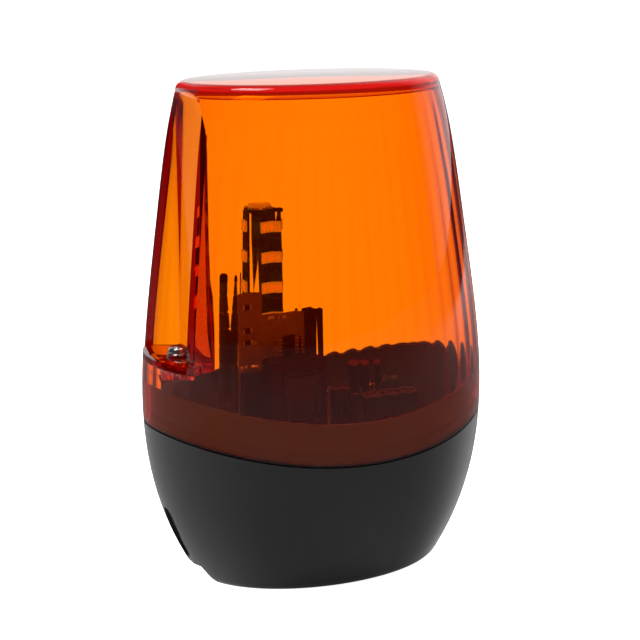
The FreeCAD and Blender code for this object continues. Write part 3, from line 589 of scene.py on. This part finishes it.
steel = metal("zinc_plated_steel", "C9C7C0", 0.24, 1.5)
solder = metal("tin_solder", "E4E2DE", 0.3, 0.8)
solder.node_tree.nodes["Principled BSDF"].inputs["Metallic"].default_value = 0.6
copper = metal("tinned_copper", "C8A078", 0.3, 1.0)
aluminium = metal("drawn_aluminium", "7C7E80", 0.45, 2.0)
core_iron = metal("varnished_core_iron", "4A4644", 0.45, 0.5)
green_board = masked_board("green_solder_mask", "123A1C", "1F5A2C")
brown_board = masked_board("brown_laminate", "8A6A3C", "8F6F40")
# The LED body and window get a weak emission: a painted glow.
led_white = glowing(grained("white_led_body_painted_glow", "D0C8B8", 0.4, 0.8, 0.0), (1, 0.36, 0.14), 0.4)
led_window = glowing(grained("amber_led_window_painted_glow", "E08828", 0.25, 0.8, 0.0), (1, 0.3, 0.06), 0.6)
epoxy = grained("black_moulding_epoxy", "1A1A1C", 0.45, 0.5, 0.4)
sleeve = grained("dark_shrink_sleeve", "1A2030", 0.3, 0.8, 0.1)
dipped = grained("blue_epoxy_dip", "2D5C9E", 0.35, 0.8, 0.2)
tape = grained("brown_winding_tape", "2A1F18", 0.35, 1.5, 0.3)
grey_nylon = grained("grey_polyamide", "5A5648", 0.5, 0.6, 0.2)
green_nylon = grained("green_polyamide", "1A4A30", 0.45, 0.6, 0.2)
rubber = grained("black_rubber", "141414", 0.7, 0.8, 0.3)
silicone = grained("grey_silicone_rubber", "5C5650", 0.6, 0.8, 0.2)
print("finishes:", len(bpy.data.materials))

# %% [markdown]
# ## Screws
#
# The lens screw and the four board screws are alike: a domed pan head with a cross recess on a threaded
# shank. The thread is drawn as rings at its pitch, which looks the same from the side.

# %% Pan-head screws
def pan_screw(name, x, y, seat, head, shank, length, pitch, recess):
    """A screw by the radius and height of its head and the radius and length of its shank."""
    head_radius, head_height = head
    steps = [(shank * 0.6, seat - length), (shank * 0.8, seat - length + 0.5)]
    turns = int((length - 2) / pitch)
    for count in range(turns):
        low = seat - length + 0.7 + count * pitch
        steps += [(shank * 0.82, low), (shank, low + pitch * 0.45), (shank, low + pitch * 0.55)]
    steps += [(shank, seat - 1.0), (shank, seat), (head_radius, seat), (head_radius, seat + head_height * 0.3)]
    for degrees in (25, 45, 60, 72, 82):
        tilt = math.radians(degrees)
        steps.append((head_radius * (0.25 + 0.75 * math.cos(tilt)),
                      seat + head_height * (0.3 + 0.7 * math.sin(tilt))))
    screw = turned(name, x, y, steps, sides=36)
    top, (arm, slot, deep) = seat + head_height, recess
    cross = join_solid(
        block("recess_along", (x - arm, y - slot, top - deep), (x + arm, y + slot, top + 1)),
        block("recess_across", (x - slot, y - arm, top - deep), (x + slot, y + arm, top + 1)),
        how="UNION",
    )
    return painted(join_solid(screw, cross), steel)


lens_screw = pan_screw("lens_screw_turned", SCREW_X, 0, 80.3, (3.3, 2.4), 1.95, 22, 0.8, (1.5, 0.28, 1.2))
finish(lens_screw, "screw", None, "screw_steel", "lens_screw")
washer = turned("washer_turned", SCREW_X, 0, [(3.6, 79.5), (3.7, 79.62), (3.7, 80.18), (3.6, 80.3)], sides=48)
join_solid(washer, rod("washer_bore", 2.0, 3, (SCREW_X, 0, 79.9)))
finish(washer, "washer", steel, "screw_steel", "screw_washer")
screws = [pan_screw("board_screw", x, y, 53.6, (2.6, 1.9), 1.3, 9, 0.7, (1.3, 0.25, 1.0)) for x, y in BOARD_SCREWS]
finish(merge("board_screws_turned", screws), "base", None, "screw_steel", "board_screws")

# %% [markdown]
# ## LED tower
#
# Three narrow boards stand on the main board and a small square one ties them at the top. Each carries
# rows of two LEDs. An LED is a white body with a round window and two solder tabs.

# %% Boards of the tower
def board(name, low, high, finish_material, *holes):
    """A cut board with slightly broken edges."""
    made = block(name, low, high)
    join_solid(made, *holes)
    return painted(soften(made, 0.1, 1), finish_material)


def solder_dots(places, turn=(0, 0, 0), radius=0.7):
    """Small domes of solder."""
    dome = turned("solder_dot", 0, 0, [(radius, 0), (radius * 0.9, 0.25), (radius * 0.55, 0.5), (0.12, 0.62)], 16)
    return copies(painted(dome, solder), places, turn)


FACING_FRONT, FACING_LEFT, FACING_RIGHT = (math.pi / 2, 0, 0), (0, -math.pi / 2, 0), (0, math.pi / 2, 0)
LOW, HIGH = 53.6, 126.1
front = [board("strip_front", (-24.1, -7, LOW), (-15.9, -6, HIGH), green_board)]
front += solder_dots([(x, -7, z) for x in (-22.6, -17.4) for z in (55.4, 84.0)], FACING_FRONT)
finish(merge("tower_board_front", front), "base", None, "circuit_board", "led_board_front")
left = [board("strip_left", (-24.8, -3.8, LOW), (-23.8, 3.8, HIGH), green_board)]
left += solder_dots([(-24.8, y, z) for y in (-2.6, 2.6) for z in (55.4, 84.0)], FACING_LEFT)
finish(merge("tower_board_left", left), "base", None, "circuit_board", "led_board_left")
right_side = [board("strip_right", (-16.2, -3.8, LOW), (-15.2, 3.8, HIGH), green_board)]
right_side += solder_dots([(-15.2, y, z) for y in (-2.6, 2.6) for z in (55.4, 84.0)], FACING_RIGHT)
finish(merge("tower_board_right", right_side), "base", None, "circuit_board", "led_board_right")
cap = [board("tie_board", (-24.8, -7.5, 126.1), (-15.2, 2.1, 127.3), green_board,
             rod("tie_hole", 0.8, 4, (-20, 0.6, 126.7)))]
cap += solder_dots([(x, y, 127.3) for x, y in ((-22.6, -6.5), (-17.4, -6.5), (-24, -3), (-24, 1),
                                              (-16, -3), (-16, 1))])
finish(merge("tower_board_top", cap), "base", None, "circuit_board", "led_board_top")

# %% LEDs
def leds(name, node_name, places, turn):
    """LEDs that face one way, given by the middle of their backs."""
    body = block("led", (-1.65, -1.8, 0.1), (1.65, 1.8, 1.4))
    join_solid(body, turned("led_dish", 0, 0, [(1.15, 1.0), (1.45, 1.6)], 32))
    soften(body, 0.12, 2)
    window = turned("led_glass", 0, 0, [(1.12, 0.95), (1.2, 1.12), (0.8, 1.2), (0.3, 1.23)], 32)
    tabs = [block("led_tab", (-1.2, side * 1.55 - 0.24, 0), (1.2, side * 1.55 + 0.24, 0.35)) for side in (-1, 1)]
    parts = [painted(body, led_white), painted(window, led_window)] + [painted(tab, solder) for tab in tabs]
    made = merge(name, copies(merge("led_one", parts), places, turn))
    return finish(made, "base", None, "led_white", node_name)


rows = [HIGH - 4.8 - 10.35 * row for row in range(4)]
leds("front_leds", "leds_front", [(-20 + step, -7, z) for step in (-1.8, 1.8) for z in rows], FACING_FRONT)
leds("left_leds", "leds_left", [(-24.8, step, z) for step in (-1.8, 1.8) for z in rows],
     (math.pi / 2, 0, -math.pi / 2))
leds("right_leds", "leds_right", [(-15.2, step, z) for step in (-1.8, 1.8) for z in rows],
     (math.pi / 2, 0, math.pi / 2))
leds("top_leds", "leds_top", [(-20 + step, -2.7, 127.3) for step in (-1.8, 1.8)], (0, 0, 0))

# %% [markdown]
# ## Driver board, header and guide

# %% Driver board
driver = block("driver_main", (-34.1, -13.2, LOW), (-9.2, -11.6, 92.6))
join_solid(driver, block("driver_ear", (-34.1, -13.2, 90), (-25.7, -11.6, 100.6)), how="UNION")
driver_parts = [painted(soften(driver, 0.12, 1), brown_board)]
chip = soften(block("driver_chip", (-3.2, -5, 0.1), (3.2, 5, 1.5)), 0.2, 1)
legs = [block("chip_leg", (side * 3.5 - 0.5, step * 1.27 - 0.2, 0), (side * 3.5 + 0.5, step * 1.27 + 0.2, 0.5))
        for side in (-1, 1) for step in range(-3, 4)]
chip = merge("chip_with_legs", [painted(chip, epoxy)] + [painted(leg, solder) for leg in legs])
driver_parts += copies(chip, [(-16, -13.2, 80)], FACING_FRONT)
relay = soften(block("relay", (-33.4, -15.5, 55.4), (-24.4, -13.2, 74)), 0.3, 2)
join_solid(relay, block("relay_groove", (-31.4, -16, 58), (-26.4, -15.2, 71)))
driver_parts.append(painted(relay, epoxy))
driver_parts += solder_dots([(x, -13.2, 75.6) for x in (-32.6, -30.4, -28.2, -25.4)], FACING_FRONT)
resistor = soften(block("resistor", (-1.6, -0.8, 0), (1.6, 0.8, 0.6)), 0.1, 1)
resistor = merge("resistor_with_ends", [painted(resistor, epoxy)] + [
    painted(soften(block("resistor_end", (side * 1.4 - 0.3, -0.85, 0), (side * 1.4 + 0.3, 0.85, 0.65)), 0.1, 1), solder)
    for side in (-1, 1)])
driver_parts += copies(resistor, [(-30, -13.2, z) for z in (84, 88, 96)], FACING_FRONT)
driver_parts += solder_dots([(x, -13.2, 91.4) for x in (-21.8, -20.6, -18, -16.8)], FACING_FRONT, 0.8)
driver_parts += solder_dots([(-30 + 2.57 * step, -13.2, 54.4) for step in range(7)], FACING_FRONT, 0.5)
finish(merge("driver_board_cut", driver_parts), "base", None, "driver_laminate", "driver_board")

# %% Header and guide
bar = block("header_bar", (-30.65, -11.6, LOW), (-12.65, -9.1, 56.2))
for gap in range(1, 7):
    x = -30.65 + gap * 18 / 7
    join_solid(bar, block("header_notch", (x - 0.3, -9.5, 52), (x + 0.3, -8, 58)))
pins = []
for number in range(7):
    x = -21.65 + (number - 3) * 18 / 7
    pins.append(painted(soften(block("header_pin", (x - 0.32, -10.67, 54), (x + 0.32, -10.03, 60.1)), 0.12, 1), copper))
finish(merge("header_moulded", [painted(soften(bar, 0.15, 1), black_nylon)] + pins),
       "base", None, "black_plastic", "driver_header")
guide = block("guide_bar", (-10.8, -14.4, LOW), (-4.8, -10.4, 93.2))
join_solid(guide, block("guide_slot", (-12, -13.3, 52), (-9.1, -11.5, 95)),
           block("guide_rib_gap", (-8.6, -15, 57), (-6.2, -14, 90)),
           block("guide_back_gap", (-8.6, -10.8, 57), (-6.2, -9, 90)))
finish(soften(guide, 0.3, 2), "base", black_nylon, "black_plastic", "board_guide")

# %% [markdown]
# ## Parts on the main board

# %% Main board
holes = [rod("screw_hole", 1.5, 6, (x, y, 52.8), sides=32) for x, y in BOARD_SCREWS]
holes += [rod("fixing_access", 3.6, 6, (x, 0, 52.8)) for x in FIXINGS]
carrier = [board("carrier", (-39.01, -28, 52), (39.01, 28, 53.6), green_board, *holes)]
chip = soften(block("logic_chip", (-2.5, -2, 0.1), (2.5, 2, 1.5)), 0.2, 1)
legs = [block("chip_leg", (step * 1.27 - 0.2, side * 2.3 - 0.5, 0), (step * 1.27 + 0.2, side * 2.3 + 0.5, 0.5))
        for side in (-1, 1) for step in (-1.5, -0.5, 0.5, 1.5)]
chip = merge("logic_chip_with_legs", [painted(chip, epoxy)] + [painted(leg, solder) for leg in legs])
carrier += copies(chip, [(-8, 16, LOW)])
ends = [painted(soften(block("part_end", (side - 0.3, -0.8, 0), (side + 0.3, 0.8, 0.85)), 0.1, 1), solder)
        for side in (-1.3, 1.3)]
small = merge("small_part", [painted(soften(block("part_body", (-1.3, -0.75, 0), (1.3, 0.75, 0.8)), 0.1, 1), epoxy)] + ends)
carrier += copies(small, [(-2, 8, LOW), (-2, 12, LOW), (-16, 20, LOW), (16, 20, LOW), (16, 23, LOW), (30, 20, LOW)])
under = (math.pi, 0, 0)
carrier += solder_dots([(8.5 + 5 * way, -23.8, 52) for way in range(4)] + [(24, 6.5, 52), (24, 11.5, 52)]
                       + [(7.5, -3, 52), (12.5, -3, 52), (24.25, -6, 52), (28.75, -6, 52)]
                       + [(x, y, 52) for x in (-26, -18.6, -11.2) for y in (-26.5, -17.5)], under, 0.9)
finish(merge("main_board_cut", carrier), "base", None, "circuit_board", "main_board")

# %% Transformer
core = soften(block("core", (-28.4, -27.6, 56.8), (-8.8, -19.2, 79.6)), 0.3, 1)
coil = soften(block("coil", (-24.8, -30.9, 60.4), (-12.4, -15.9, 75.4)), 1.6, 3)
flanges = [soften(block("flange", (-25.4, -30.6, z), (-11.8, -16.2, z + 0.9)), 0.2, 1) for z in (59.6, 75.3)]
tray = soften(block("tray", (-28.4, -30.9, LOW), (-8.8, -15.9, 56.9)), 0.4, 2)
parts = [painted(core, core_iron), painted(coil, tape)] + [painted(part, black_nylon) for part in (*flanges, tray)]
finish(merge("wound_transformer", parts), "base", None, "black_plastic", "transformer")

# %% Capacitor, rectifier, fuse and varistor
can = turned("can", 24, 9, [(4.7, LOW), (5, 54), (5, 55.4), (4.6, 55.9), (4.6, 56.3), (5, 56.8), (5, 65.6),
                           (4.7, 66.1), (4.2, 66.1), (4.1, 65.9)])
top = turned("can_top", 24, 9, [(4.1, 65.7), (4.1, 65.95)])
join_solid(top, block("vent_along", (20.8, 8.85, 65.85), (27.2, 9.15, 67)),
           block("vent_across", (23.85, 5.8, 65.85), (24.15, 12.2, 67)))
finish(merge("capacitor_can", [painted(can, sleeve), painted(top, aluminium)]),
       "base", None, "sleeve_foil", "capacitor")
bridge = soften(block("bridge", (1.8, 11.4, 54.2), (10.2, 16.6, 56.8)), 0.3, 2)
join_solid(bridge, rod("bridge_mark", 0.5, 0.4, (3.2, 12.8, 56.8), sides=24))
legs = [soften(block("bridge_leg", (x - 0.6, y - 0.35, LOW), (x + 0.6, y + 0.35, 55.4)), 0.12, 1)
        for x in (3.4, 8.6) for y in (11.15, 16.85)]
finish(merge("bridge_rectifier", [painted(bridge, epoxy)] + [painted(leg, solder) for leg in legs]),
       "base", None, "black_plastic", "rectifier")
pot = turned("pot_fuse", 10, -3, [(3.9, LOW), (4.2, 54), (4.2, 60.5), (3.8, 61.2), (2.6, 61.2), (2.4, 60.9)])
finish(pot, "base", epoxy, "black_plastic", "fuse")
disc = turned("disc", 0, 0, [(3.2, -1.8), (4.1, -1.5), (4.5, -0.8), (4.5, 0.8), (4.1, 1.5), (3.2, 1.8)])
disc = copies(painted(disc, dipped), [(26.5, -6, 59.6)], (math.pi / 2, 0, 0))
leads = [painted(turned("varistor_lead", 26.5 + side, -6, [(0.8, LOW), (0.4, 54.4), (0.4, 59)], 16), solder)
         for side in (-2.25, 2.25)]
finish(merge("varistor_dipped", disc + leads), "base", None, "blue_coating", "varistor")

# %% Aerial post, cap and wire
steps = [(2.3, LOW)]
for groove_height in range(60, 98, 6):
    steps += [(2.3, groove_height - 0.5), (2.1, groove_height - 0.3), (2.1, groove_height + 0.3),
              (2.3, groove_height + 0.5)]
finish(turned("aerial_stem", -28.6, 9.5, steps + [(2.3, 100.6)]), "base", grey_nylon, "post_plastic", "aerial_post")
dome = turned("aerial_dome", -28.6, 9.5, [(2.35, 100.6), (2.5, 100.8), (2.5, 102.2), (2.3, 102.9), (1.6, 103.3),
                                         (0.6, 103.4)])
finish(dome, "base", black_nylon, "black_plastic", "aerial_cap")
wire = turned("aerial_lead", -23.7, 10.5, [(1.3, LOW), (0.9, 54), (0.6, 54.8), (0.6, 103), (0.4, 103.3),
                                          (0.15, 103.4)], 20)
finish(wire, "base", copper, "wire_copper", "aerial_wire")

# %% [markdown]
# ## Pieces that keep their own shape

# %% Finishes for kept pieces
kept = {"green_plastic": green_nylon, "screw_steel": steel, "cage_metal": steel, "seal_rubber": rubber}
slots = {part["node"]: part["material_slot"] for part in frame["record"]["subparts"]}
for name in ["terminal_block", "cable_grommet", "lens_seal"] + [
        f"terminal_{kind}_{way}" for kind in ("screw", "cage") for way in range(1, 5)]:
    painted(NODES[name], silicone if name == "lens_seal" else kept[slots[name]])
    print("finished", name)

# %% [markdown]
# ## Floor, world and lamps
#
# The lamp stands in an even white studio. A white seamless sweep shows as white to the camera and through
# the lens, and keeps a soft shadow under the lamp.

# %% World
world = bpy.data.worlds.new("studio")
bpy.context.scene.world = world
world.use_nodes = True
tree = world.node_tree
tree.nodes.clear()


def light_path(tree):
    """Three factors: rays never scattered by a dull surface, mirrored ones, and those inside the lens."""
    rays = node(tree, "LightPath").outputs
    unscattered = node(tree, "Math", {0: rays["Diffuse Depth"], 1: 0.5}, operation="LESS_THAN")
    mirrored = node(tree, "Math", {0: rays["Glossy Depth"], 1: 0.5}, operation="GREATER_THAN")
    within = node(tree, "Math", {0: rays["Transmission Depth"], 1: 0.5}, operation="GREATER_THAN")
    return unscattered.outputs[0], mirrored.outputs[0], within.outputs[0]


unscattered, mirrored, within = light_path(tree)
towards = node(tree, "TexCoord").outputs["Generated"]
behind = node(tree, "VectorMath", {0: towards, 1: (0.55, 0.835, 0)}, operation="DOT_PRODUCT")
sweep = node(tree, "MapRange", {
    "Value": behind.outputs["Value"], "From Min": 0.25, "From Max": 0.75, "To Min": 0.01, "To Max": 1.0,
})
reflected = node(tree, "Background", {"Strength": sweep.outputs["Result"]})
inner = node(tree, "Background", {"Strength": 0.4})
shown = node(tree, "Background", {"Strength": 1.3})
lit = node(tree, "Background", {"Strength": 0.45})
for shade in (reflected, shown, lit):
    shade.inputs["Color"].default_value = (1, 1, 1, 1)
inner.inputs["Color"].default_value = (1, 0.12, 0.05, 1)
bounced = node(tree, "MixShader", {0: within, 1: reflected.outputs[0], 2: inner.outputs[0]})
clear = node(tree, "MixShader", {0: mirrored, 1: shown.outputs[0], 2: bounced.outputs[0]})
every = node(tree, "MixShader", {0: unscattered, 1: lit.outputs[0], 2: clear.outputs[0]})
node(tree, "OutputWorld", {"Surface": every.outputs[0]})
print("world set")

# %% Floor
bpy.ops.object.select_all(action="DESELECT")
bpy.ops.mesh.primitive_plane_add(size=6, location=(0, 0, 0))
floor = bpy.context.object
floor.name = "floor"
white_floor = bpy.data.materials.new("white_sweep")
white_floor.use_nodes = True
tree = white_floor.node_tree
tree.nodes.clear()
unscattered, mirrored, within = light_path(tree)
glow = node(tree, "Emission", {"Color": (1, 1, 1, 1), "Strength": 0.93})
paper = node(tree, "BsdfDiffuse", {"Color": (0.8, 0.8, 0.8, 1)})
grey = node(tree, "BsdfDiffuse", {"Color": (0.14, 0.14, 0.14, 1)})
glowing = node(tree, "AddShader", {0: glow.outputs[0], 1: paper.outputs[0]})
# Mirror images see a painted reflection of the floor: a dark grey outside the lens and a weak red glow inside it.
painted_red_reflection = node(tree, "Emission", {"Color": (1, 0.12, 0.05, 1), "Strength": 0.3})
through = node(tree, "Emission", {"Color": (1, 1, 1, 1), "Strength": 1.3})
bounced = node(tree, "MixShader", {0: within, 1: grey.outputs[0], 2: painted_red_reflection.outputs[0]})
straight = node(tree, "MixShader", {0: within, 1: glowing.outputs[0], 2: through.outputs[0]})
clear = node(tree, "MixShader", {0: mirrored, 1: straight.outputs[0], 2: bounced.outputs[0]})
every = node(tree, "MixShader", {0: unscattered, 1: paper.outputs[0], 2: clear.outputs[0]})
node(tree, "OutputMaterial", {"Surface": every.outputs[0]})
floor.data.materials.append(white_floor)
print("floor set")


# %% Lamps
def softbox(name, azimuth, distance, height, size, power, mirrored=False):
    """A square area lamp that looks at the middle of the lamp, from a direction round it in degrees."""
    turn = math.radians(azimuth)
    bpy.ops.object.light_add(type="AREA", location=(
        distance * math.sin(turn), -distance * math.cos(turn), height,
    ))
    lamp = bpy.context.object
    lamp.name = name
    lamp.data.size = size
    lamp.data.energy = power
    aim = Vector((0, 0, 0.08)) - lamp.location
    lamp.rotation_euler = aim.to_track_quat("-Z", "Y").to_euler()
    lamp.visible_glossy = mirrored
    lamp.visible_transmission = mirrored
    return lamp


softbox("right_softbox", 105, 1.0, 0.35, 0.4, 17)
softbox("left_softbox", -112, 1.0, 0.3, 0.4, 18)
softbox("top_softbox", -65, 0.45, 1.1, 0.4, 4, mirrored=True)
bpy.context.scene.view_settings.view_transform = "Standard"
print("lamps set")
